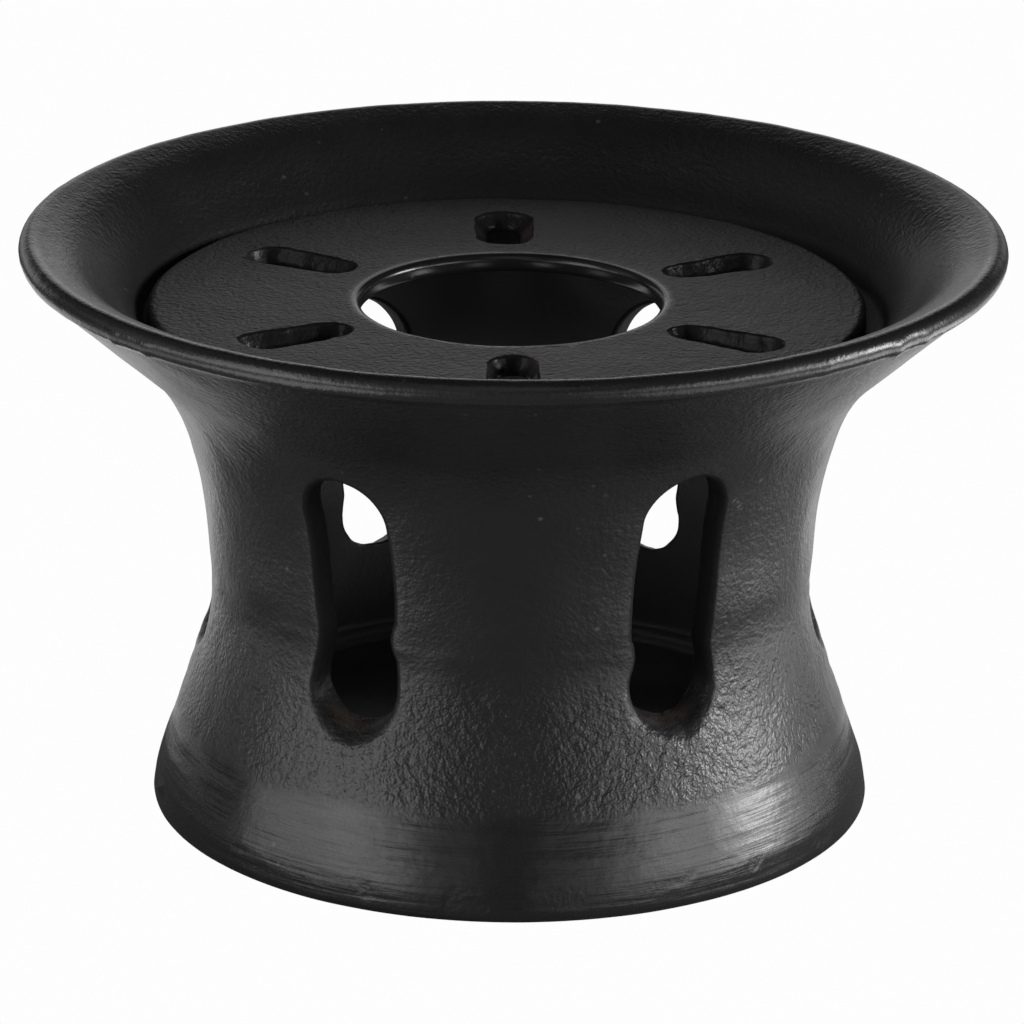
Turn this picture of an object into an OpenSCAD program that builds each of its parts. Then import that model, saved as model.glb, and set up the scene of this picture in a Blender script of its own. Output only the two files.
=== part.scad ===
// Small cast-iron table stove: a waisted hollow body with six air slots and a
// flared bowl, and a loose slotted plate that lies on a ledge in the bowl.
// Millimetres, +Z up, origin at the centre of the foot on the table.

/* [Body] */
// Height from the table to the top of the rim
total_h = 90.7; // [89:0.1:93]
// Outermost radius of the rim
rim_r = 75; // [74:0.5:78]
// Radius of the rim's rounded edge
lip_r = 1.9; // [1.7:0.1:2.1]
// Height of the waist, where the two halves of the mould met
waist_z = 35; // [34:0.5:36]
// Outer radius at the waist
waist_r = 46.4; // [46:0.2:47.4]
// Widest outer radius of the foot
foot_r = 55.8; // [54.6:0.2:57]
// Rounding of the foot's lower outer edge, at least
foot_edge = 1.2; // [1:0.1:2]
// Thickness of the body wall
wall = 4.7; // [4.3:0.1:5.1]
// Thickness of the flared bowl wall
bowl_wall = 4.2; // [3.8:0.1:4.4]
// Height of the top of the cast floor
floor_z = 9; // [8:0.5:11]
// Thickness of the cast floor
floor_t = 5; // [4:0.5:6]

/* [Air slots] */
// Number of air slots round the body
slot_count = 6; // [4:1:6]
// Width of an air slot
slot_w = 14.6; // [12:0.2:16]
// Height of the lowest point of an air slot
slot_z0 = 24; // [22:0.5:26]
// Height of the highest point of an air slot
slot_z1 = 66; // [62:0.5:67]

/* [Ledge and plate] */
// Height of the ledge that the plate lies on
ledge_z = 76.9; // [76.5:0.1:77.2]
// Inner radius of the ledge
ledge_r = 51; // [50:0.5:52]
// Radius of the seat where the ledge meets the bowl wall
seat_r = 56.2; // [56:0.1:56.8]
// Outer radius of the plate
plate_r = 54.8; // [54.2:0.1:55.4]
// Thickness of the plate
plate_t = 3; // [2.6:0.1:3.2]
// Rounding of the plate's upper outer edge
plate_edge = 1.2; // [0.8:0.1:1.3]
// Radius of the plate's central hole
hole_r = 22.8; // [20:0.2:25]
// Rounding of the central hole's upper edge
hole_edge = 1.1; // [0.8:0.1:1.3]

/* [Plate slots] */
// Number of slots in the plate
vent_count = 6; // [4:1:8]
// Distance from the axis to the inner end of a plate slot
vent_r0 = 28; // [27.5:0.5:30]
// Distance from the axis to the outer end of a plate slot
vent_r1 = 47.6; // [45:0.5:49]
// Width of a plate slot at the upper face
vent_top = 8.4; // [7:0.2:9]
// Width of a plate slot at the lower face
vent_bottom = 5; // [4.6:0.2:5.6]

/* [Hidden] */
$fn = 128;

lip_cz = total_h - lip_r;            // centre height of the rim's rounded edge
lip_cr = rim_r - lip_r;              // centre radius of the rim's rounded edge
flare_z = total_h - 3.9;             // where the flare runs into the rim
flare_r = rim_r - 1.9;
// Shape of the wall below and above the waist, as shares of the height and of the widening
BELOW = [[1, 1], [0.965, 0.99], [0.86, 0.92], [0.75, 0.793], [0.6, 0.59], [0.4, 0.33], [0.2, 0.115], [0, 0]];
ABOVE = [[0, 0], [0.14, 0.016], [0.28, 0.04], [0.42, 0.092], [0.56, 0.18], [0.68, 0.325], [0.78, 0.525], [0.88, 0.74], [0.955, 0.905], [1, 1]];
STATIONS = concat(
    [for (p = BELOW) [waist_r + p[1] * (foot_r - waist_r), waist_z * (1 - p[0])]],
    [for (i = [1:len(ABOVE) - 1]) [waist_r + ABOVE[i][1] * (flare_r - waist_r), waist_z + ABOVE[i][0] * (flare_z - waist_z)]]);
N = len(STATIONS);
STEPS = 3;

// Smooth curve through the stations: a point, its direction and the wall's inward normal
function at(i) = STATIONS[max(0, min(N - 1, i))];
function curve(i, t) = 0.5 * (2 * at(i) + (at(i + 1) - at(i - 1)) * t
    + (2 * at(i - 1) - 5 * at(i) + 4 * at(i + 1) - at(i + 2)) * t * t
    + (3 * at(i) - at(i - 1) - 3 * at(i + 1) + at(i + 2)) * t * t * t);
function run(i, t) = curve(i, min(1, t + 0.01)) - curve(i, max(0, t - 0.01));
function inward(i, t) = let (d = run(i, t)) [-d[1], d[0]] / norm(d);
OUTER = concat([for (i = [0:N - 2], k = [0:STEPS - 1]) curve(i, k / STEPS)], [STATIONS[N - 1]]);
function offset_in(w) = [for (i = [0:N - 2], k = [0:STEPS - 1]) curve(i, k / STEPS) + w * inward(i, k / STEPS)];
CAVITY = [for (p = offset_in(wall)) if (p[1] > floor_z + 3 && p[1] < slot_z1 + 3 && p[0] < ledge_r - 0.6) p];
BOWL = [for (p = offset_in(bowl_wall)) if (p[1] > ledge_z + 4.5 && p[0] < lip_cr - 2.4) p];

module body_profile() {
    foot_in = at(0)[0] - 6;
    edge = [for (p = OUTER) if (p[1] >= foot_edge) p][0];   // where the rounded foot edge meets the wall
    rim = [for (a = [-70:10:110]) [lip_cr + lip_r * cos(a), lip_cz + lip_r * sin(a)]];
    polygon(concat(
        [[0, floor_z - floor_t], [foot_in - 1.5, floor_z - floor_t], [foot_in, 0.6], [foot_in + 0.6, 0]],
        [for (a = [-90:15:-15]) [edge[0] - edge[1] + edge[1] * cos(a), edge[1] + edge[1] * sin(a)]],
        [for (i = [1:len(OUTER) - 2]) if (OUTER[i][1] >= edge[1]) OUTER[i]],
        rim,
        [for (i = [len(BOWL) - 1:-1:0]) BOWL[i]],
        [[seat_r + 1.2, ledge_z + 2.8], [seat_r, ledge_z], [ledge_r + 0.7, ledge_z], [ledge_r, ledge_z - 0.7]],
        [for (i = [len(CAVITY) - 1:-1:0]) CAVITY[i]],
        [[CAVITY[0][0] + 0.6, floor_z + 1.2], [CAVITY[0][0] - 0.6, floor_z], [0, floor_z]]));
}

// One air slot with full-round ends, cut square to the wall
module air_slot() {
    r = slot_w / 2;
    for (z = [slot_z0 + r, slot_z1 - r])
        translate([30, 0, z]) rotate([0, 90, 0]) cylinder(r = r, h = 40);
    translate([30, -r, slot_z0 + r]) cube([40, slot_w, slot_z1 - slot_z0 - slot_w]);
}

module stove_body() {
    color([0.055, 0.057, 0.06])
    difference() {
        rotate_extrude() body_profile();
        for (i = [0:slot_count - 1]) rotate([0, 0, i * 360 / slot_count]) air_slot();
    }
}

module plate_profile() {
    z0 = ledge_z;
    z1 = ledge_z + plate_t;
    polygon(concat(
        [[hole_r, z0 + 0.4], [hole_r + 0.4, z0], [plate_r - 0.5, z0], [plate_r, z0 + 0.5]],
        [for (a = [0:15:90]) [plate_r - plate_edge + plate_edge * cos(a), z1 - plate_edge + plate_edge * sin(a)]],
        [for (a = [90:15:180]) [hole_r + hole_edge + hole_edge * cos(a), z1 - hole_edge + hole_edge * sin(a)]]));
}

// One plate slot: drafted sides and drafted full-round ends, wider at the upper face
module vent() {
    w0 = vent_bottom - (vent_top - vent_bottom) / plate_t;
    w1 = vent_top + (vent_top - vent_bottom) / plate_t;
    h = plate_t + 2;
    for (x = [vent_r0 + vent_top / 2, vent_r1 - vent_top / 2])
        translate([x, 0, ledge_z - 1]) cylinder(r1 = w0 / 2, r2 = w1 / 2, h = h);
    translate([vent_r0 + vent_top / 2, 0, ledge_z - 1])
        rotate([90, 0, 90]) linear_extrude(height = vent_r1 - vent_r0 - vent_top)
            polygon([[-w0 / 2, 0], [w0 / 2, 0], [w1 / 2, h], [-w1 / 2, h]]);
}

module slotted_plate() {
    color([0.08, 0.08, 0.082])
    difference() {
        rotate_extrude() plate_profile();
        for (i = [0:vent_count - 1]) rotate([0, 0, 90 + i * 360 / vent_count]) vent();
    }
}

stove_body();
slotted_plate();
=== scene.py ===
import bpy, math
import numpy as np
from mathutils import Matrix, Vector


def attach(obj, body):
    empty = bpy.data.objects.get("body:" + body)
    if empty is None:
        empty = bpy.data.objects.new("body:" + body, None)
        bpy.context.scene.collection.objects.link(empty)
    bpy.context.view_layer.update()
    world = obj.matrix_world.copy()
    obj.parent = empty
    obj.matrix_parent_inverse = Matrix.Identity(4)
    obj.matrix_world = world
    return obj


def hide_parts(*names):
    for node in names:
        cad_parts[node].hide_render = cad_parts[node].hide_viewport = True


# Small cast-iron table stove: waisted body with a flared bowl, and a loose slotted plate.
# Lengths in the geometry code are millimetres; meshes are scaled to metres when they are made.

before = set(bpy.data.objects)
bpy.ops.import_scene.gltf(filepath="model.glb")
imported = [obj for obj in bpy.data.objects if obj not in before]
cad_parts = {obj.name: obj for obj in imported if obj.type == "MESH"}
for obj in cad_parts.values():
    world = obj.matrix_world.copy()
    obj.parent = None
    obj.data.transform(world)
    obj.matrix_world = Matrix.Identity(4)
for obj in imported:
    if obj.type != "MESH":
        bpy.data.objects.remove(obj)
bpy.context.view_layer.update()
MM = 0.001
TAU = 2 * math.pi

# ------------------------------------------------------------------ camera
cam_data = bpy.data.cameras.new("camera")
cam = bpy.data.objects.new("camera", cam_data)
bpy.context.scene.collection.objects.link(cam)
cam_data.sensor_width = 36.0
cam_data.lens = 36.0 * 5.995
cam_data.clip_start, cam_data.clip_end = 0.05, 50
target = Vector((0.00008, 0, 0.0454))
elev, dist = math.radians(19.36), 0.9468
eye = target + Vector((0, -math.cos(elev), math.sin(elev))) * dist
look = (target - eye).to_track_quat("-Z", "Y").to_matrix().to_4x4()
cam.matrix_world = Matrix.Translation(eye) @ look @ Matrix.Rotation(math.radians(0.418), 4, "Z")
bpy.context.scene.camera = cam


# ------------------------------------------------------------------ noise
class Noise:
    """Seeded gradient noise on arrays of points."""

    def __init__(self, seed):
        rng = np.random.RandomState(seed)
        self.p = np.concatenate([rng.permutation(256)] * 3)
        g = rng.normal(size=(256, 3))
        self.g = g / np.linalg.norm(g, axis=1)[:, None]

    def __call__(self, pts, size=1.0, off=0.0):
        q = np.asarray(pts, float) / size + off
        i = np.floor(q).astype(int)
        f = q - i
        i &= 255
        u = f * f * f * (f * (f * 6 - 15) + 10)
        out = 0
        for dx in (0, 1):
            for dy in (0, 1):
                for dz in (0, 1):
                    h = self.p[self.p[self.p[i[..., 0] + dx] + i[..., 1] + dy] + i[..., 2] + dz]
                    d = ((f - (dx, dy, dz)) * self.g[h]).sum(-1)
                    w = ((u[..., 0] if dx else 1 - u[..., 0]) * (u[..., 1] if dy else 1 - u[..., 1])
                         * (u[..., 2] if dz else 1 - u[..., 2]))
                    out = out + d * w
        return out * 1.6


n1, n2, n3, n4 = Noise(11), Noise(23), Noise(37), Noise(51)


def smooth(a, b, x):
    t = np.clip((np.asarray(x, float) - a) / (b - a), 0, 1)
    return t * t * (3 - 2 * t)


def catmull(points, steps):
    P = np.array(points, float)
    n = len(P)
    out = []
    for i in range(n - 1):
        a, b, c, d = P[max(i - 1, 0)], P[i], P[i + 1], P[min(i + 2, n - 1)]
        for k in range(steps):
            t = k / steps
            out.append(0.5 * (2 * b + (c - a) * t + (2 * a - 5 * b + 4 * c - d) * t * t
                              + (3 * b - a - 3 * c + d) * t ** 3))
    out.append(P[-1])
    return np.array(out)


def spaced(curve, step):
    """The curve again, as points evenly spaced along it."""
    s = np.concatenate([[0], np.cumsum(np.linalg.norm(np.diff(curve, axis=0), axis=1))])
    n = max(2, int(round(s[-1] / step)) + 1)
    at = np.linspace(0, s[-1], n)
    return np.stack([np.interp(at, s, curve[:, k]) for k in range(2)], 1)


# ------------------------------------------------------------------ body profile (as in the design)
H, RIM, LIP = 90.7, 75.0, 1.9
WAIST_Z, WAIST_R, FOOT_R, WALL = 35.0, 46.4, 55.8, 4.7
LIP_Z, LIP_C = H - LIP, RIM - LIP
FLARE_Z, FLARE_R = H - 3.9, RIM - 1.9
LEDGE_Z = 76.9
BELOW = [(1, 1), (.965, .99), (.86, .92), (.75, .793), (.6, .59), (.4, .33), (.2, .115), (0, 0)]
ABOVE = [(0, 0), (.14, .016), (.28, .04), (.42, .092), (0.56, 0.18), (0.68, 0.325), (0.78, 0.525), (0.88, 0.74), (0.955, 0.905), (1, 1)]
stations = [(WAIST_R + b * (FOOT_R - WAIST_R), WAIST_Z * (1 - a)) for a, b in BELOW] + \
           [(WAIST_R + b * (FLARE_R - WAIST_R), WAIST_Z + a * (FLARE_Z - WAIST_Z)) for a, b in ABOVE[1:]]
OUT = catmull(stations, 14)
d = np.gradient(OUT, axis=0)
nrm = np.stack([-d[:, 1], d[:, 0]], 1)
nrm /= np.linalg.norm(nrm, axis=1)[:, None]
INN = OUT + WALL * nrm
keep = (INN[:, 1] > 12.5) & (INN[:, 1] < 69.0) & (INN[:, 0] < 49)
low_in = catmull([(47.75, 10.9), (47.5, 11.7)] + [tuple(p) for p in INN[keep][::14]] +
                 [(49.1, 71.2), (50.1, 73.8), (50.8, 75.6), (50.95, 76.1)], 8)


def r_out(z):
    return np.interp(z, OUT[:, 1], OUT[:, 0])


def r_in(z):
    return np.interp(z, low_in[:, 1], low_in[:, 0])


# ------------------------------------------------------------------ mesh assembly
class Shell:
    """Rings of points joined to quads. A ring is an array (n, 3); neighbours have n, 2n or 1 points."""

    def __init__(self):
        self.co, self.faces, self.tags, self.count = [], [], [], 0

    def add(self, pts, tag):
        pts = np.atleast_2d(pts)
        start = self.count
        self.co.append(pts)
        self.tags.append(np.full(len(pts), tag))
        self.count += len(pts)
        return np.arange(start, self.count)

    def join(self, a, b, skip=None):
        """Faces between two closed loops of vertex numbers."""
        na, nb = len(a), len(b)
        if na == nb:
            for i in range(na):
                if skip is None or not skip[i]:
                    k = (i + 1) % na
                    self.faces.append((a[i], a[k], b[k], b[i]))
        elif na == 1:
            self.faces += [(a[0], b[(i + 1) % nb], b[i]) for i in range(nb)]
        elif nb == 1:
            self.faces += [(b[0], a[i], a[(i + 1) % na]) for i in range(na)]
        elif nb == 2 * na:
            for i in range(na):
                k = (i + 1) % na
                p, q, r = b[2 * i], b[2 * i + 1], b[(2 * i + 2) % nb]
                self.faces += [(a[i], q, p), (a[i], a[k], q), (a[k], r, q)]
        else:
            for i in range(nb):
                k = (i + 1) % nb
                p, q, r = a[2 * i], a[2 * i + 1], a[(2 * i + 2) % na]
                self.faces += [(b[i], p, q), (b[i], q, b[k]), (b[k], q, r)]

    def arrays(self):
        return np.concatenate(self.co), np.concatenate(self.tags)


def build(name, co, faces):
    mesh = bpy.data.meshes.new(name)
    mesh.from_pydata((co * MM).tolist(), [], [tuple(int(v) for v in f) for f in faces])
    mesh.update()
    mesh.polygons.foreach_set("use_smooth", np.ones(len(mesh.polygons), bool))
    obj = bpy.data.objects.new(name, mesh)
    bpy.context.scene.collection.objects.link(obj)
    return obj


def normals(obj):
    n = np.empty(len(obj.data.vertices) * 3, np.float32)
    obj.data.vertex_normals.foreach_get("vector", n)
    return n.reshape(-1, 3).astype(float)


def attribute(obj, name, values):
    a = obj.data.attributes.new(name, "FLOAT", "POINT")
    a.data.foreach_set("value", np.asarray(values, np.float32))


# ------------------------------------------------------------------ slots: rectangles of the grid mapped to round-ended outlines
def rect_share(X, Z, a, b):
    """For points on rectangles grown round a by b: how far outside, and the share of the way round from top centre."""
    rho = np.maximum(np.abs(X) - a, np.abs(Z) - b)
    A, B = a + rho, b + rho
    P = 4 * (A + B)
    side = (np.abs(X) - a) >= (np.abs(Z) - b)
    L = np.where(side & (X > 0), A + (B - Z),
        np.where(side, 3 * A + 2 * B + (Z + B),
        np.where(Z < 0, A + 2 * B + (A - X),
        np.where(X >= 0, X, 4 * A + 4 * B + X))))
    return rho, np.where(P > 0, L / np.where(P > 0, P, 1), 0)


def stadium(t, w, lo, hi):
    """Point at share t round an upright round-ended slot of half width w, from its top centre."""
    s = np.maximum((hi - lo) - 2 * w, 0)
    q = math.pi * w / 2
    L = t * (2 * s + 4 * q)
    x = np.zeros_like(L); z = np.zeros_like(L)
    def put(m, xv, zv):
        x[m] = xv[m]; z[m] = zv[m]
    w = np.broadcast_to(w, L.shape).astype(float); lo = np.broadcast_to(lo, L.shape).astype(float)
    hi = np.broadcast_to(hi, L.shape).astype(float); q = np.broadcast_to(q, L.shape); s = np.broadcast_to(s, L.shape)
    e1, e2, e3, e4 = q, q + s, 3 * q + s, 3 * q + 2 * s
    put(L < e1, w * np.sin(L / w), hi - w + w * np.cos(L / w))
    put((L >= e1) & (L < e2), w, hi - w - (L - e1))
    put((L >= e2) & (L < e3), w * np.cos((L - e2) / w), lo + w - w * np.sin((L - e2) / w))
    put((L >= e3) & (L < e4), -w, lo + w + (L - e3))
    put(L >= e4, -w * np.cos((L - e4) / w), hi - w + w * np.sin((L - e4) / w))
    return x, z


COLS, SECT = 384, 64
DTH = TAU / COLS
HALF, COLW = 10, 0.785                      # slot half width in columns, and a column's nominal width
Z0, Z1, ROWS = 23.0, 67.0, 55               # the rows that a slot's outline spans
FIL_O, FIL_I, SLOT_W = 1.1, 0.8, 7.2
SLOT_LO, SLOT_HI = 24.5, 65.9
SHIFT = [31.3, 90.4, 150.2, -149.6, -90.3, -30.1]   # true azimuth of each slot, from the front towards +X
SLOT_DZ = [0.5, 0.1, -0.2, 0.2, -0.1, -0.4]
col = np.arange(COLS)
sect = col // SECT
ci = col - (sect * SECT + SECT // 2)
# flash at each slot: how far it stands in from the left side and from the right side, and its height
LUMP = [(0.45, 0.1, 37.4), (0.3, 0.2, 36.0), (0.2, 0.4, 36.5), (0.35, 0.1, 36.5), (0.15, 0.3, 36.0), (0.12, 0.6, 40.0)]


def parting(x, y):
    """Height of the mould's parting line, which isn't quite level."""
    return 36.4 + 2.3 * np.cos(np.arctan2(x, -y) + 0.15)




def uneven(x, z, k, fade):
    """Cast slots aren't true: narrower at the mould's parting height, with a lump of flash there, and a wandering edge."""
    k = np.broadcast_to(k, x.shape)
    p = np.stack([x, z, 17.3 * k], -1)
    mid = np.take([l[2] for l in LUMP], k)
    narrow = 0.62 * np.exp(-np.abs(z - mid) / 6.5) + 0.55 * smooth(49, 60, z)
    lump = np.where(x > 0, np.take([l[1] for l in LUMP], k), np.take([l[0] for l in LUMP], k))
    lump = lump * np.sqrt(np.clip(1 - ((z - mid) / 2.8) ** 2, 0, 1))
    narrow = np.where((k == 0) | (k == 5) | (z < 42), narrow, 0.2)
    side = np.tanh(x / 3.0)
    narrow = narrow + np.where((k == 5) & (x < 0), 0.95, 0.25) * (1 - smooth(50, 61, z)) * smooth(29, 38, z) * ((k == 0) | (k == 5))
    x2 = x - side * (narrow + lump) * fade + 0.13 * n1(p, 6.5) * fade + 0.09 * n2(p, 2.4) * fade * (1 - 0.6 * smooth(42, 50, z))
    z2 = z + (0.16 * n3(p, 7.0) + 0.1 * n4(p, 2.6)) * fade
    return x2, z2


def wall_rows(zrows, rad, w, lo, hi, reach):
    """Grid of a turned wall with the slots' outlines worked in: (rows, columns, 3)."""
    Zg, C = np.meshgrid(zrows, ci, indexing="ij")
    K = np.broadcast_to(sect, Zg.shape)
    rho, t = rect_share(C * COLW, Zg - (Z0 + Z1) / 2, HALF * COLW, (Z1 - Z0) / 2)
    grow = np.maximum(rho, 0)
    x, z = stadium(t, w + grow, lo - grow, hi + grow)
    z = z + np.take(SLOT_DZ, K)
    x, z = uneven(x, z, K, np.exp(-grow / 1.6))
    nominal = np.radians(30 + 60 * K)
    true = np.radians(np.take(SHIFT, K) % 360)
    th = true + np.arcsin(np.clip(x / rad(z), -0.95, 0.95))
    plain = nominal + C * DTH
    b = smooth(0.0, 1.0, grow / reach)
    th = (1 - b) * th + b * plain
    z = (1 - b) * z + b * Zg
    r = rad(z)
    return np.stack([r * np.sin(th), -r * np.cos(th), z], -1)


def loop_of(grid, k, j0, j1):
    """Vertex numbers round slot k's hole in a grid of vertex numbers, from the top centre clockwise; j0 is the bottom row."""
    c = k * SECT + SECT // 2
    up = 1 if j1 > j0 else -1
    cells = [(j1, c + i) for i in range(0, HALF)] + [(j, c + HALF) for j in range(j1, j0, -up)] + \
            [(j0, c + i) for i in range(HALF, -HALF, -1)] + [(j, c - HALF) for j in range(j0, j1, up)] + \
            [(j1, c + i) for i in range(-HALF, 0)]
    return np.array([grid[j, i % COLS] for j, i in cells]), np.array(cells)


def circle(r, z, n):
    th = np.arange(n) * TAU / n
    return np.stack([r * np.sin(th), -r * np.cos(th), np.full(n, z)], -1)


UNDER, FOOT, OUTER, RIMT, BOWL, LEDGE, CAVITY, FLOOR, SLOT = range(9)
sh = Shell()
# underside: recess disc, recess wall, foot ring
prev = sh.add([[0, 0, 4.0]], UNDER)
for r in np.concatenate([[2.5], np.arange(5, 46.6, 2.97)]):
    ring = sh.add(circle(r, 4.0, 192), UNDER); sh.join(prev, ring); prev = ring
for r, z in ((48.4, 3.9), (48.95, 3.5)):
    ring = sh.add(circle(r, z, 384), UNDER); sh.join(prev, ring); prev = ring
for r, z in ((49.2, 2.9), (49.4, 2.2), (49.65, 1.4), (49.9, .7), (50.2, .22), (50.7, 0.03), (51.9, 0), (53.2, 0)):
    ring = sh.add(circle(r, z, 384), UNDER); sh.join(prev, ring); prev = ring
# rounded foot edge
EDGE = 1.225
er = r_out(EDGE)
for a in np.radians([-88, -74, -60, -46, -32, -18]):
    ring = sh.add(circle(er - EDGE + EDGE * math.cos(a), EDGE + EDGE * math.sin(a), 384), FOOT); sh.join(prev, ring); prev = ring
# outer wall
def rows_between(z0, z1, step):
    m = (OUT[:, 1] > z0) & (OUT[:, 1] < z1)
    c = np.concatenate([[(r_out(z0), z0)], OUT[m], [(r_out(z1), z1)]])
    return spaced(c, step)[:, 1]
lower = rows_between(EDGE, Z0, 0.8)[:-1]
band = np.linspace(Z0, Z1, ROWS + 1)
upper = rows_between(Z1, 86.55, 0.85)[1:]
zr = np.concatenate([lower, band, upper])
g = wall_rows(zr, r_out, SLOT_W + FIL_O, SLOT_LO - FIL_O, SLOT_HI + FIL_O, 11.0)
grid_o = np.array([sh.add(row, OUTER) for row in g])
sh.join(prev, grid_o[0])
hole_cols = np.zeros(COLS, bool)
for k in range(6):
    c = k * SECT + SECT // 2
    hole_cols[c - HALF:c + HALF] = True
jo0, jo1 = len(lower), len(lower) + ROWS
for j in range(len(zr) - 1):
    sh.join(grid_o[j], grid_o[j + 1], hole_cols if jo0 <= j < jo1 else None)
prev = grid_o[-1]
# rim
for a in np.radians(np.linspace(-64, 110, 19)):
    ring = sh.add(circle(LIP_C + LIP * math.cos(a), LIP_Z + LIP * math.sin(a), 384), RIMT); sh.join(prev, ring); prev = ring
# bowl, cove and ledge
bowl = catmull([(72.45, 90.585), (70.3, 89.8), (68.5, 88.95), (66.5, 87.65), (64.8, 86.2), (63.4, 84.85), (62.0, 83.45),
                (60.4, 81.95), (59.0, 80.75), (57.9, 79.6), (57.1, 78.3), (56.65, 77.4), (56.1, 76.95), (55.2, 76.9)], 8)
for i, (r, z) in enumerate(spaced(bowl, 0.88)[1:]):
    ring = sh.add(circle(r, z, 384), BOWL); sh.join(prev, ring); prev = ring
for r, z in ((54.0, 76.9), (52.9, 76.9), (51.9, 76.88), (51.35, 76.7), (51.02, 76.3)):
    ring = sh.add(circle(r, z, 384), LEDGE); sh.join(prev, ring); prev = ring
# cavity wall, from the ledge down
upc = np.linspace(75.9, Z1, 10)[:-1]
dnc = np.linspace(Z0, 11.2, 14)[1:]
zi = np.concatenate([upc, band[::-1], dnc])
gi = wall_rows(zi, r_in, SLOT_W + FIL_I, SLOT_LO + 2.2 - FIL_I, SLOT_HI + 0.6 + FIL_I, 8.0)
grid_i = np.array([sh.add(row, CAVITY) for row in gi])
sh.join(prev, grid_i[0])
ji1, ji0 = len(upc), len(upc) + ROWS
for j in range(len(zi) - 1):
    sh.join(grid_i[j], grid_i[j + 1], hole_cols if ji1 <= j < ji0 else None)
prev = grid_i[-1]
for r, z in ((47.2, 10.95), (46.6, 10.85), (46.15, 10.45), (46.0, 9.85), (46.1, 9.2), (45.8, 8.85), (45.1, 8.75)):
    ring = sh.add(circle(r, z, 384), FLOOR); sh.join(prev, ring); prev = ring
for r in np.arange(43.6, 2, -2.9):
    ring = sh.add(circle(r, 9.0, 192), FLOOR); sh.join(prev, ring); prev = ring
ring = sh.add([[0, 0, 9.0]], FLOOR); sh.join(prev, ring)
# slot walls, from the outer outline through to the inner one
for k in range(6):
    a, cells = loop_of(grid_o, k, jo0, jo1)
    b, _ = loop_of(grid_i, k, ji0, ji1)          # rows run downwards inside, so top and bottom swap numbers
    c = k * SECT + SECT // 2
    X = (cells[:, 1] - c) * COLW
    Zc = zr[cells[:, 0]] - (Z0 + Z1) / 2
    _, t = rect_share(X, Zc, HALF * COLW, (Z1 - Z0) / 2)
    prev = a
    steps = [(FIL_O * (1 - math.sin(p)), 0.0, FIL_O * (1 - math.cos(p)), 0.0) for p in np.radians([22.5, 45, 67.5, 90])]
    steps += [(0.0, s, 0.0, 0.0) for s in (0.25, 0.5, 0.75)]
    steps += [(FIL_I * (1 - math.cos(p)), 1.0, 0.0, FIL_I * (1 - math.sin(p))) for p in np.radians([0, 30, 60])]
    for grow, share, dout, din in steps:
        # depth runs from FIL_O to the wall less FIL_I as share goes 0 to 1
        for _pass in range(1):
            tau0 = (FIL_O + share * (WALL - FIL_O - FIL_I)) / WALL if share > 0 else dout / WALL
            if din > 0 or share == 1.0:
                tau0 = 1 - din / WALL
            x, z = stadium(t, SLOT_W + grow, SLOT_LO + 2.2 * tau0 - grow, SLOT_HI + 0.6 * tau0 + grow)
            z = z + SLOT_DZ[k]
            x, z = uneven(x, z, k, 1.0)
            ro, ri = r_out(z), r_in(z)
            r = ro + (ri - ro) * tau0
            th = math.radians(SHIFT[k] % 360) + np.arcsin(np.clip(x / r, -0.9, 0.9))
        ring = sh.add(np.stack([r * np.sin(th), -r * np.cos(th), z], -1), SLOT)
        sh.join(ring, prev); prev = ring
    sh.join(b, prev)
co, tag = sh.arrays()
used = np.zeros(len(co), bool)
for f in sh.faces:
    used[list(f)] = True
new = np.cumsum(used) - 1
faces = [tuple(new[v] for v in f) for f in sh.faces]
co, tag = co[used], tag[used]
body = build("stove_body_casting", co, faces)
N = normals(body)

# relief of the casting, along the surface normal
x, y, z = co.T
az = np.degrees(np.arctan2(x, -y))
rr = np.hypot(x, y)
wall = (tag == OUTER) | (tag == FOOT)
skin = wall | (tag == SLOT)
edge_wander = 1.1 * n1(np.stack([x, y, 0 * z], -1), 16) + 0.5 * n2(np.stack([x, y, 0 * z], -1), 5)
ground = np.where(wall, 1 - smooth(13.6, 15.6, z + edge_wander), 0.0)
below = smooth(14.5, 17, z + edge_wander) * (1 - smooth(30.5, 36.5, z + 2.0 * n2(co, 11)))
# distance below the slots, where the moulding sand tore most
dslot = np.min([np.hypot((az - ((s + 180) % 360 - 180) + 180) % 360 - 180, (z - 25) * 1.6) for s in SHIFT], axis=0)
tear = np.exp(-(dslot / 13.0) ** 2) * below
calm = np.where((tag == RIMT) | (tag == BOWL), 0.35, 1.0)
d = (0.13 * n1(co, 13) + 0.06 * n2(co, 5.5)) * calm
d = d + np.where(skin, 0.05 * n3(co, 2.7) * (0.4 + below) + 0.2 * tear * n4(co, 2.1), 0.04 * n3(co, 3.1))
d = d * (1 - 0.75 * ground) - 0.1 * ground
rings_co = np.stack([x * 0.05, y * 0.05, z], -1)
d = d + ground * (0.05 * n3(rings_co, 1.5) + 0.05 * n1(rings_co, 3.4))
# parting line of the mould: a slight step with a little flash
pz = z - parting(x, y) - 0.6 * n2(co, 22)
near = np.exp(-np.min([np.abs((az - ((s + 180) % 360 - 180) + 180) % 360 - 180) for s in SHIFT], axis=0) / 14.0)
d = d + np.where(tag == OUTER, 0.07 * (1 - smooth(-0.7, 0.7, pz)) * smooth(14, 26, z)
                 + (0.05 + 0.2 * near) * np.exp(-(pz / 0.7) ** 2) * np.clip(0.3 + 1.8 * n1(co, 5), 0, 1.4), 0)
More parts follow.
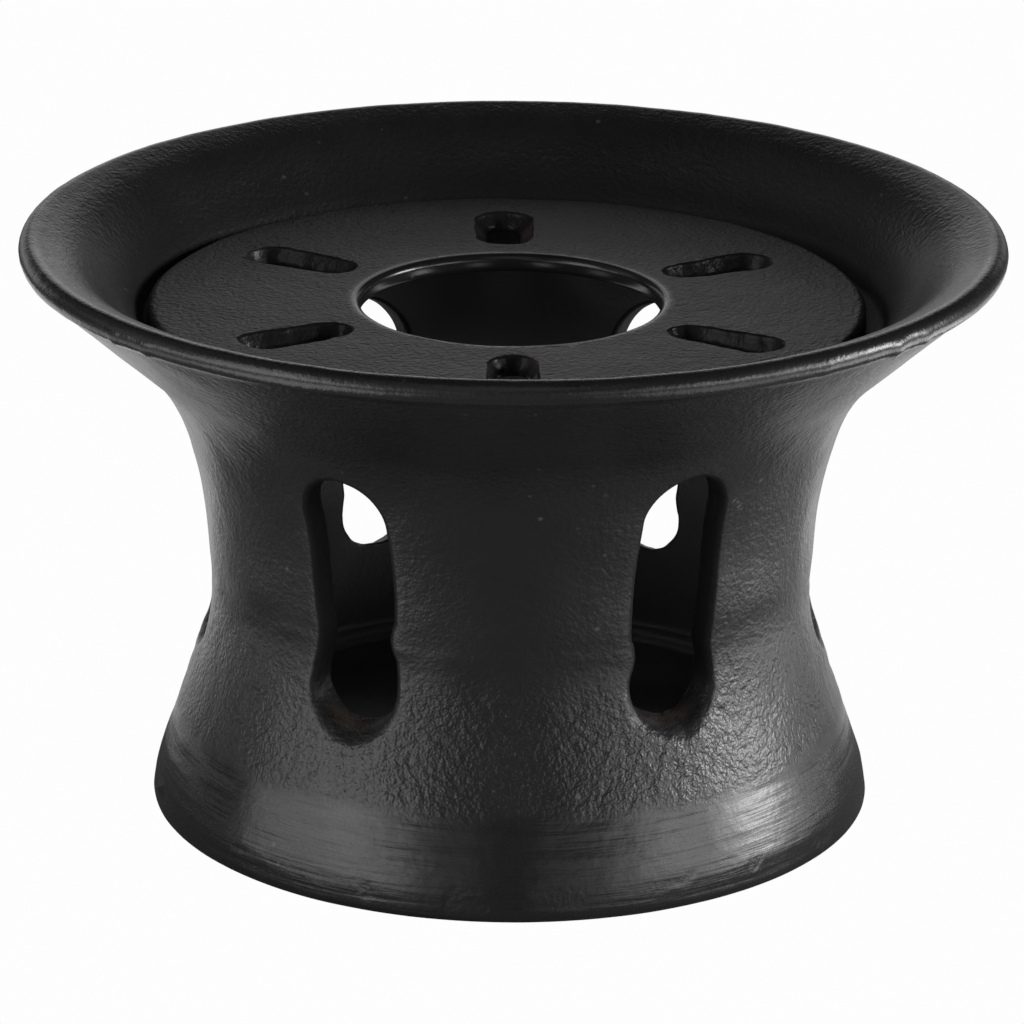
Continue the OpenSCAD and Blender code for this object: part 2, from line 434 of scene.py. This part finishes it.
# paint drips and small chips on the rim
for a0, wd, amp in ((48.2, 0.75, .42), (53.2, 0.5, .3), (37.0, 0.5, .25), (-45.0, 0.45, .25), (-50.5, 0.6, .22), (152, 0.6, .3), (-118, 0.7, .3), (101, .5, .25)):
    da = (az - a0 + 180) % 360 - 180
    d = d + np.where(tag == RIMT, amp * np.exp(-(da / wd) ** 2) * (1 - smooth(88.6, 90.2, z)), 0)
# a nub of metal at the left of the foot
nub = np.exp(-(((az + 78) / 1.3) ** 2 + ((z - 3.6) / 0.9) ** 2))
d = d + np.where(wall, 0.55 * nub, 0)
d = np.where((tag == UNDER) & (z < 0.4), 0, d)
d = np.where(tag == LEDGE, np.minimum(d * 0.3, 0), d)
co2 = co + N * d[:, None]
co2[:, 2] = np.maximum(co2[:, 2], 0)
co2[:, 2] = np.where(tag == LEDGE, np.minimum(co2[:, 2], LEDGE_Z), co2[:, 2])
body.data.vertices.foreach_set("co", (co2 * MM).ravel().astype(np.float32))
body.data.update()
left_over = smooth(0.34, 0.5, n2(co, 6.5)) * (1 - smooth(3.5, 6.0, z + 1.5 * n1(co, 5)))
left_over = np.maximum(left_over, np.exp(-((az - 8.4) / 4) ** 4 - ((z - 4.1) / 1.9) ** 4))
attribute(body, "ground", ground * (1 - 0.85 * left_over))
attribute(body, "upper", np.where(wall, smooth(56, 70, z), 0))
attribute(body, "inner", np.where(tag == SLOT, 0.35 + 0.65 * smooth(27, 34, z), np.where((tag == BOWL) | (tag == LEDGE), 0.8 * (1 - smooth(79.5, 84, z)), 0)))
attribute(body, "coarse", np.where(tag == SLOT, np.clip(below + 0.6, 0, 1.2), np.where(skin, np.clip(below + 0.6 * tear, 0, 1.5), 0)))
# inside the cavity, on its floor and on the underside: rougher, and the mask for painted fill light (a lighter grey
# colour where little light reaches)
attribute(body, "inside_painted_fill", np.where((tag == CAVITY) | (tag == FLOOR) | (tag == UNDER), 1.0, 0.0))
attribute(body, "bowl", np.where((tag == BOWL) | (tag == LEDGE), 1.0, 0.0))
attribute(body, "rim", np.where(tag == RIMT, 1.0, 0.0))
deep = smooth(0.8, 2.0, r_out(z) - rr) * smooth(-0.4, 0.6, n1(co, 5.0) + 0.3)
attribute(body, "rust", np.where(tag == SLOT, deep * np.clip(np.exp(-((z - 25.5) / 2.6) ** 2) + 0.7 * np.exp(-((z - 66) / 3.0) ** 2), 0, 1), 0))

# ------------------------------------------------------------------ plate
PC = 360
PS = PC // 6
PT, PB = LEDGE_Z + 3.0, LEDGE_Z
pcol = np.arange(PC)
psect = ((pcol + PS // 2) // PS) % 6
pci = (pcol + PS // 2) % PS - PS // 2
PH, PW = 7, 0.66
Y0, Y1, PR = 27.5, 48.0, 28
PSHIFT = [0.7, 59.3, 119.2, 181.7, -120.6, -59.2]
# each slot: inner and outer half width and inner and outer end at the upper face
PSLOT = [(3.5, 3.85, 28.4, 47.0), (3.2, 4.3, 28.1, 46.6), (3.3, 4.35, 27.6, 45.7), (4.15, 4.5, 28.6, 46.2), (3.3, 4.4, 28.5, 46.8), (3.2, 4.35, 28.2, 46.2)]


def plate_xy(t, k, extra, deep):
    """Point on slot k's outline; extra grows it, deep from 0 to 1 draws it in towards the lower face."""
    P = np.array(PSLOT)
    w1, w2, lo, hi = (np.take(P[:, c], k) for c in range(4))
    side = np.where(np.asarray(k) % 3 == 0, 1.0, 0.55)      # the front and back slots taper most
    w1 = w1 - 1.25 * deep * side; w2 = w2 - 2.0 * deep * side
    lo = lo + 0.8 * deep; hi = hi - 1.2 * deep * side
    wm = (w1 + w2) / 2
    x, yv = stadium(t, wm + extra, lo - extra, hi + extra)
    s = np.clip((yv - lo) / (hi - lo), 0, 1)
    x = x * (w1 + (w2 - w1) * s + extra) / (wm + extra)
    return x, yv


def plate_uneven(x, yv, k, fade):
    p = np.stack([x, yv, 31.7 * np.broadcast_to(k, x.shape) + 400], -1)
    return x + (0.3 * n1(p, 3.4) + 0.13 * n2(p, 1.5)) * fade, yv + (0.3 * n3(p, 3.4) + 0.1 * n4(p, 1.5)) * fade


def plate_rows(rows, zval, deep, extra):
    Rg, C = np.meshgrid(rows, pci, indexing="ij")
    K = np.broadcast_to(psect, Rg.shape)
    rho, t = rect_share(C * PW, Rg - (Y0 + Y1) / 2, PH * PW, (Y1 - Y0) / 2)
    grow = np.maximum(rho, 0)
    xs, ys = plate_xy(t, K, extra + grow, deep)
    xs, ys = plate_uneven(xs, ys, K, np.exp(-grow / 0.9))
    rad = np.hypot(xs, ys)
    th = np.radians(np.take(PSHIFT, K)) + np.arctan2(xs, ys)
    plain = np.radians(60.0 * K + C)
    th0 = (th - plain + math.pi) % TAU - math.pi
    b = smooth(0, 1, grow / 3.2)
    th = plain + (1 - b) * th0
    rad = (1 - b) * rad + b * Rg
    return np.stack([rad * np.sin(th), -rad * np.cos(th), np.full_like(rad, zval)], -1)


def plate_loop(grid, k, j0, j1):
    c = k * PS
    cells = [(j1, c + i) for i in range(0, PH)] + [(j, c + PH) for j in range(j1, j0, -1)] + \
            [(j0, c + i) for i in range(PH, -PH, -1)] + [(j, c - PH) for j in range(j0, j1)] + \
            [(j1, c + i) for i in range(-PH, 0)]
    return np.array([grid[j, i % PC] for j, i in cells]), np.array(cells)


TOPF, HOLE, OUTE, LOWF, VENT = range(5)
pl = Shell()


def outer_r(extra=0.0):
    th = pcol * TAU / PC
    return 54.75 - 0.6 * np.sin(th) + extra


def outer_ring(inset, zval, tag):
    th = pcol * TAU / PC
    r = outer_r(-inset)
    return pl.add(np.stack([r * np.sin(th), -r * np.cos(th), np.full(PC, zval)], -1), tag)


first = None
HR, HE = 22.85, 1.15
prof = [(HR + .9, PB, HOLE), (HR + .5, PB + .12, HOLE), (HR + .2, PB + .4, HOLE), (HR + .05, PB + .8, HOLE), (HR, PB + 1.2, HOLE)]
prof += [(HR + HE + HE * math.cos(a), PT - HE + HE * math.sin(a), HOLE) for a in np.radians(np.linspace(180, 90, 9))]
rings = []
for r, zv, tg in prof:
    rings.append(pl.add(circle(r, zv, PC), tg))
for a, b in zip(rings[:-1], rings[1:]):
    pl.join(a, b)
pslot_rows = np.linspace(Y0, Y1, PR + 1)
prow = np.concatenate([np.linspace(24.7, Y0, 6)[:-1], pslot_rows, np.linspace(Y1, 52.6, 8)[1:]])
pj0 = 5
pj1 = pj0 + PR
top = np.array([pl.add(row, TOPF) for row in plate_rows(prow, PT, 0.0, 0.6)])
pl.join(rings[-1], top[0])
phole = np.zeros(PC, bool)
for k in range(6):
    for i in range(-PH, PH):
        phole[(k * PS + i) % PC] = True
for j in range(len(prow) - 1):
    pl.join(top[j], top[j + 1], phole if pj0 <= j < pj1 else None)
prevr = top[-1]
for inset, zv in [(1.25 * (1 - math.sin(a)), PT - 1.25 * (1 - math.cos(a))) for a in np.radians(np.linspace(0, 82, 8))] + \
                 [(0.0, PT - 1.4), (0.0, PB + 0.55), (0.15, PB + 0.15), (0.5, PB)]:
    ring = outer_ring(inset, zv, OUTE); pl.join(prevr, ring); prevr = ring
low = np.array([pl.add(row, LOWF) for row in plate_rows(prow, PB, 1.0, 0.25)])
pl.join(prevr, low[-1])
for j in range(len(prow) - 1, 0, -1):
    pl.join(low[j], low[j - 1], phole if pj0 <= j - 1 < pj1 else None)
pl.join(low[0], rings[0])
for k in range(6):
    a, cells = plate_loop(top, k, pj0, pj1)
    b, _ = plate_loop(low, k, pj0, pj1)
    _, t = rect_share((cells[:, 1] - k * PS) * PW, prow[cells[:, 0]] - (Y0 + Y1) / 2, PH * PW, (Y1 - Y0) / 2)
    prevr = a
    round_in = [(0.6 * (1 - math.sin(q)), 0.0, PT - 0.6 * (1 - math.cos(q))) for q in np.radians([20, 40, 60, 80])]
    for extra, deep, zv in round_in + [(0, .15, PT - .8), (0, .4, PT - 1.2), (0, .6, PT - 1.6), (0, .8, PT - 2.0),
                                       (0, .95, PT - 2.45), (.04, 1.0, PB + .2), (.12, 1.0, PB + .06)]:
        xs, ys = plate_xy(t, k, extra, deep)
        xs, ys = plate_uneven(xs, ys, k, 1.0)
        rad = np.hypot(xs, ys)
        th = math.radians(PSHIFT[k]) + np.arctan2(xs, ys)
        ring = pl.add(np.stack([rad * np.sin(th), -rad * np.cos(th), np.full_like(rad, zv)], -1), VENT)
        pl.join(ring, prevr); prevr = ring
    pl.join(b, prevr)
pco, ptag = pl.arrays()
used = np.zeros(len(pco), bool)
for f in pl.faces:
    used[list(f)] = True
new = np.cumsum(used) - 1
pfaces = [tuple(new[v] for v in f) for f in pl.faces]
pco, ptag = pco[used], ptag[used]
pco[:, 0] -= 0.35
plate = build("slotted_plate_casting", pco, pfaces)
PN = normals(plate)
pd = 0.10 * n2(pco, 14, 5.1) + 0.05 * n3(pco, 5.2, 2.2) + np.where((ptag == TOPF) | (ptag == OUTE), 0.045 * n4(pco, 2.4), 0.02 * n4(pco, 2.6))
pd = pd + np.where(ptag == VENT, 0.06 * n1(pco, 2.6), 0)
pd = np.where(ptag == HOLE, 0.06 * n2(pco, 9), pd)
pd = np.where(ptag == LOWF, np.minimum(pd, 0) * 0.3, pd)
pco2 = pco + PN * pd[:, None]
pco2[:, 2] = np.maximum(pco2[:, 2], PB + 0.005)
plate.data.vertices.foreach_set("co", (pco2 * MM).ravel().astype(np.float32))
plate.data.update()
prad = np.hypot(pco[:, 0] + 0.35, pco[:, 1])
attribute(plate, "glossy", np.where(ptag == HOLE, 1.0, np.where(ptag == VENT, 0.7, 0.0)) + np.where(ptag == TOPF, 0.6 * np.exp(-((prad - 24) / 0.7) ** 2), 0))
attribute(plate, "vent", np.where(ptag == VENT, 1.0, 0.0))
attribute(plate, "under", np.where(ptag == LOWF, 1.0, 0.0))


# ------------------------------------------------------------------ materials
class Tree:
    def __init__(self, name):
        self.m = bpy.data.materials.new(name)
        self.m.use_nodes = True
        self.t = self.m.node_tree
        self.t.nodes.clear()
        self.out = self.add("ShaderNodeOutputMaterial")

    def add(self, kind, inputs=None, **props):
        n = self.t.nodes.new(kind)
        for k, v in props.items():
            setattr(n, k, v)
        for k, v in (inputs or {}).items():
            self.put(n.inputs[k], v)
        return n

    def put(self, sock, v):
        if isinstance(v, bpy.types.NodeSocket):
            self.t.links.new(v, sock)
        else:
            sock.default_value = v

    def math(self, op, a, b=0.0, c=None, clamp=False):
        n = self.add("ShaderNodeMath", operation=op, use_clamp=clamp)
        self.put(n.inputs[0], a); self.put(n.inputs[1], b)
        if c is not None:
            self.put(n.inputs[2], c)
        return n.outputs[0]

    def attr(self, name):
        return self.add("ShaderNodeAttribute", attribute_name=name, attribute_type="GEOMETRY").outputs["Fac"]

    def noise(self, vec, scale, detail=2.0, rough=0.5, dist=0.0):
        return self.add("ShaderNodeTexNoise", {"Vector": vec, "Scale": scale, "Detail": detail, "Roughness": rough, "Distortion": dist}).outputs["Fac"]

    def ramp(self, fac, a, b, lo=0.0, hi=1.0):
        n = self.add("ShaderNodeMapRange", {"Value": fac, "From Min": a, "From Max": b, "To Min": lo, "To Max": hi}, interpolation_type="SMOOTHSTEP")
        return n.outputs["Result"]

    def mix(self, fac, a, b):
        n = self.add("ShaderNodeMix", data_type="RGBA")
        self.put(n.inputs["Factor"], fac); self.put(n.inputs["A"], a); self.put(n.inputs["B"], b)
        return n.outputs["Result"]


def iron(name, plate_kind):
    T = Tree(name)
    geo = T.add("ShaderNodeTexCoord").outputs["Object"]
    mm = T.add("ShaderNodeVectorMath", {0: geo, 1: (1000, 1000, 1000)}, operation="MULTIPLY").outputs[0]
    rings = T.add("ShaderNodeVectorMath", {0: mm, 1: (0.045, 0.045, 1.0)}, operation="MULTIPLY").outputs[0]
    fine = T.noise(mm, 2.6, 1.0, 0.5)
    grain = T.noise(mm, 1.3, 1.0, 0.5, 0.0)
    pebble = T.add("ShaderNodeTexVoronoi", {"Vector": mm, "Scale": 0.92, "Smoothness": 1.0, "Randomness": 1.0}, feature="SMOOTH_F1").outputs["Distance"]
    patch = T.noise(mm, 0.09, 2.0, 0.5)
    specks = T.add("ShaderNodeTexVoronoi", {"Vector": mm, "Scale": 0.24, "Randomness": 1.0}, feature="F1").outputs["Distance"]
    if plate_kind:
        glossy, vent, under = T.attr("glossy"), T.attr("vent"), T.attr("under")
        g_amt = T.math("MULTIPLY", T.math("SUBTRACT", 1.0, glossy, clamp=True), 1.0)
        h = T.math("MULTIPLY", grain, T.math("MULTIPLY", g_amt, 0.2))
        h = T.math("MULTIPLY_ADD", pebble, T.math("MULTIPLY", g_amt, -0.11), h)
        h = T.math("MULTIPLY_ADD", fine, T.math("MULTIPLY_ADD", g_amt, 0.05, 0.003), h)
        rough = T.math("MULTIPLY_ADD", fine, 0.12, 0.40)
        rough = T.math("MULTIPLY_ADD", glossy, -0.24, rough)
        rough = T.math("MULTIPLY_ADD", under, 0.1, rough)
        rust = T.math("MULTIPLY", vent, T.ramp(patch, 0.5, 0.68, 0, 0.6))
    else:
        ground, coarse, inside_painted_fill, bowl, rimv, rust0, upper, inner = (
            T.attr(n) for n in ("ground", "coarse", "inside_painted_fill", "bowl", "rim", "rust", "upper", "inner"))
        painted = T.math("MULTIPLY_ADD", ground, -0.95, 1.0)
        base = T.math("MULTIPLY_ADD", coarse, 0.6, 0.55)
        base = T.math("MULTIPLY_ADD", upper, 0.25, base)
        base = T.math("MULTIPLY_ADD", bowl, 0.2, base)
        base = T.math("MULTIPLY_ADD", rimv, -0.2, base)
        base = T.math("MULTIPLY", base, painted)
        h = T.math("MULTIPLY", grain, T.math("MULTIPLY", base, 0.12))
        h = T.math("MULTIPLY_ADD", pebble, T.math("MULTIPLY", base, -0.085), h)
        h = T.math("MULTIPLY_ADD", fine, T.math("MULTIPLY_ADD", base, 0.035, 0.004), h)
        streak = T.noise(rings, 0.75, 3.0, 0.55)
        streak2 = T.noise(rings, 3.4, 2.0, 0.5)
        dents = T.noise(mm, 0.33, 2.0, 0.5)
        h = T.math("MULTIPLY_ADD", streak, T.math("MULTIPLY", ground, 0.13), h)
        h = T.math("MULTIPLY_ADD", streak2, T.math("MULTIPLY", ground, 0.006), h)
        h = T.math("MULTIPLY_ADD", dents, T.math("MULTIPLY", ground, 0.09), h)
        rough = T.math("MULTIPLY_ADD", fine, 0.1, 0.25)
        rough = T.math("MULTIPLY_ADD", ground, -0.07, rough)
        rough = T.math("MULTIPLY_ADD", rimv, -0.06, rough)
        rough = T.math("MULTIPLY_ADD", inside_painted_fill, 0.25, rough)
        rough = T.math("MULTIPLY_ADD", inner, 0.25, rough)
        rough = T.math("MULTIPLY_ADD", patch, 0.08, rough)
        rust = T.math("MULTIPLY", rust0, T.ramp(T.noise(mm, 0.22, 2.0, 0.5), 0.38, 0.58, 0.2, 0.75))
    black = T.mix(patch, (0.0125, 0.0125, 0.0135, 1), (0.0185, 0.0180, 0.0180, 1))
    dot = T.math("MULTIPLY", T.ramp(specks, 0.05, 0.12, 1, 0), T.ramp(T.noise(mm, 0.16, 0.0), 0.5, 0.62))
    colour = T.mix(T.math("MULTIPLY", dot, 0.35), black, (0.16, 0.16, 0.155, 1))
    colour = T.mix(rust, colour, (0.068, 0.055, 0.049, 1))
    if not plate_kind:
        # painted fill light: the cavity, its floor and the underside get a lighter grey colour than the black paint,
        # standing in for light that hardly reaches them
        colour = T.mix(T.math("MULTIPLY", inside_painted_fill, 0.8), colour, (0.085, 0.085, 0.09, 1))
    bump = T.add("ShaderNodeBump", {"Strength": 1.0, "Distance": 0.001, "Height": h})
    bsdf = T.add("ShaderNodeBsdfPrincipled", {"Base Color": colour, "Roughness": rough, "Normal": bump.outputs[0], "IOR": 1.5, "Metallic": 0.0})
    if plate_kind:
        T.put(bsdf.inputs["Specular IOR Level"], T.math("MULTIPLY_ADD", vent, -0.38, 0.5))
    else:
        T.put(bsdf.inputs["Specular IOR Level"], T.math("MULTIPLY_ADD", inner, -0.44, 0.5))
    T.t.links.new(bsdf.outputs[0], T.out.inputs["Surface"])
    return T.m


body.data.materials.append(iron("painted_iron_body", False))
plate.data.materials.append(iron("painted_iron_plate", True))
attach(body, "stove"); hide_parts("stove_body")
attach(plate, "plate"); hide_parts("slotted_plate")

# ------------------------------------------------------------------ floor and light
bpy.ops.mesh.primitive_circle_add(vertices=96, radius=6.0, fill_type="NGON", location=(0, 0, -0.0002))
floor = bpy.context.object
floor.name = "floor"
F = Tree("pale_floor")
lp = F.add("ShaderNodeLightPath")
dark = F.add("ShaderNodeBsdfDiffuse", {"Color": (0.35, 0.35, 0.35, 1)})
glow = F.add("ShaderNodeEmission", {"Color": (1, 1, 1, 1), "Strength": 0.985})
pick = F.add("ShaderNodeMixShader", {0: lp.outputs["Is Camera Ray"], 1: dark.outputs[0], 2: glow.outputs[0]})
F.t.links.new(pick.outputs[0], F.out.inputs["Surface"])
floor.data.materials.append(F.m)

world = bpy.data.worlds.new("studio")
bpy.context.scene.world = world
world.use_nodes = True
world.node_tree.nodes["Background"].inputs[0].default_value = (1, 1, 1, 1)
world.node_tree.nodes["Background"].inputs[1].default_value = 0.0000


# Softboxes round the object ("box": azimuth from the front towards the right, elevation, size, watts) and lit
# patches of the floor beside it ("mat": azimuth, distance, size, watts)
LIGHTS = [
    ("box", -160, 6, 0.45, 0.38),
    ("box", -140, 6, 0.45, 0.50),
    ("box", -80, 6, 0.45, 1.48),
    ("box", -60, 6, 0.45, 1.35),
    ("box", -40, 6, 0.45, 1.60),
    ("box", -20, 6, 0.45, 0.29),
    ("box", 20, 6, 0.45, 0.37),
    ("box", 40, 6, 0.45, 1.09),
    ("box", 60, 6, 0.45, 2.07),
    ("box", 80, 6, 0.45, 3.82),
    ("box", 100, 6, 0.45, 1.38),
    ("box", 160, 6, 0.45, 0.28),
    ("box", 180, 6, 0.45, 0.61),
    ("box", -50, 14, 0.4, 0.43),
    ("box", 50, 14, 0.4, 0.98),
    ("box", 90, 14, 0.4, 8.15),
    ("box", -140, 26, 0.6, 0.05),
    ("box", -100, 26, 0.6, 0.39),
    ("box", -60, 26, 0.6, 2.29),
    ("box", -20, 26, 0.6, 0.20),
    ("box", 180, 26, 0.6, 0.57),
    ("box", -120, 50, 0.7, 0.15),
    ("box", -60, 50, 0.7, 0.18),
    ("box", 0, 50, 0.7, 0.49),
    ("mat", -140, 0.097, 0.08, 0.012),
    ("mat", 140, 0.097, 0.08, 0.012),
    ("mat", -135, 0.24, 0.18, 0.107),
    ("mat", -90, 0.24, 0.18, 0.073),
    ("mat", -45, 0.24, 0.18, 0.196),
    ("mat", 45, 0.24, 0.18, 0.133),
    ("mat", 90, 0.24, 0.18, 0.333),
    ("mat", 135, 0.24, 0.18, 0.096),
]
for n, (kind, azim, second, size, watts) in enumerate(LIGHTS):
    data = bpy.data.lights.new(kind, "AREA")
    data.shape, data.size, data.size_y, data.energy = "RECTANGLE", size, size, watts
    lamp = bpy.data.objects.new("%s_%02d" % (kind, n), data)
    bpy.context.scene.collection.objects.link(lamp)
    lamp.visible_camera = False
    a = math.radians(azim)
    if kind == "box":
        e, mid = math.radians(second), Vector((0, 0, 0.045))
        pos = mid + 1.3 * Vector((math.sin(a) * math.cos(e), -math.cos(a) * math.cos(e), math.sin(e)))
        lamp.matrix_world = Matrix.Translation(pos) @ (mid - pos).to_track_quat("-Z", "Y").to_matrix().to_4x4()
    else:
        lamp.matrix_world = Matrix.Translation((math.sin(a) * second, -math.cos(a) * second, 0.0005)) @ Matrix.Rotation(math.pi, 4, "X")

vs = bpy.context.scene.view_settings
vs.view_transform = "Standard"
vs.look = "None"
